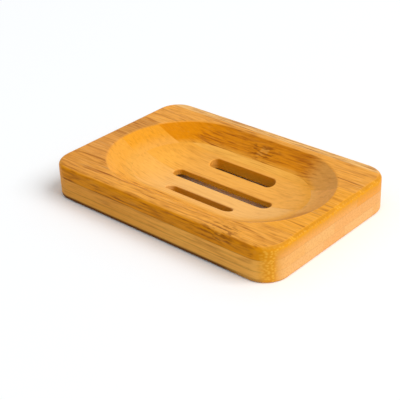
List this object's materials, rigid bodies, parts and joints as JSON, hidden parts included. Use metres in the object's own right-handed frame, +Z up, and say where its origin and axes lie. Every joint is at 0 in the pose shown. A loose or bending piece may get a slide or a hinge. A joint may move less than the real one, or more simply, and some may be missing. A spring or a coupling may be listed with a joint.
{
  "type": "soap dish",
  "caption": "Low rounded-rectangular soap dish of glued bamboo strips, with a shallow oval bowl for the bar, drain slots in its floor and a hollowed underside.",
  "frame": {"origin": "middle of the underside, on the plane that the dish stands on", "axes": "+X along the grain and the long side, +Y across the grain towards the back, +Z up out of the bowl"},
  "size_m": [0.12, 0.08, 0.0155],
  "materials": {
    "base_strip_1": "oiled laminated bamboo",
    "base_strip_2": "oiled laminated bamboo",
    "base_strip_3": "oiled laminated bamboo",
    "base_strip_4": "oiled laminated bamboo",
    "base_strip_5": "oiled laminated bamboo",
    "core_strip_1": "oiled laminated bamboo",
    "core_strip_2": "oiled laminated bamboo",
    "core_strip_3": "oiled laminated bamboo",
    "core_strip_4": "oiled laminated bamboo",
    "top_strip_1": "oiled laminated bamboo",
    "top_strip_2": "oiled laminated bamboo",
    "top_strip_3_left": "oiled laminated bamboo",
    "top_strip_3_right": "oiled laminated bamboo",
    "top_strip_4": "oiled laminated bamboo",
    "top_strip_5": "oiled laminated bamboo"
  },
  "bodies": {
    "root": {"base_strip_1": "base_strip_1", "base_strip_2": "base_strip_2", "base_strip_3": "base_strip_3", "base_strip_4": "base_strip_4", "base_strip_5": "base_strip_5", "core_strip_1": "core_strip_1", "core_strip_2": "core_strip_2", "core_strip_3": "core_strip_3", "core_strip_4": "core_strip_4", "top_strip_1": "top_strip_1", "top_strip_2": "top_strip_2", "top_strip_3_left": "top_strip_3_left", "top_strip_3_right": "top_strip_3_right", "top_strip_4": "top_strip_4", "top_strip_5": "top_strip_5"}
  },
  "joints": []
}
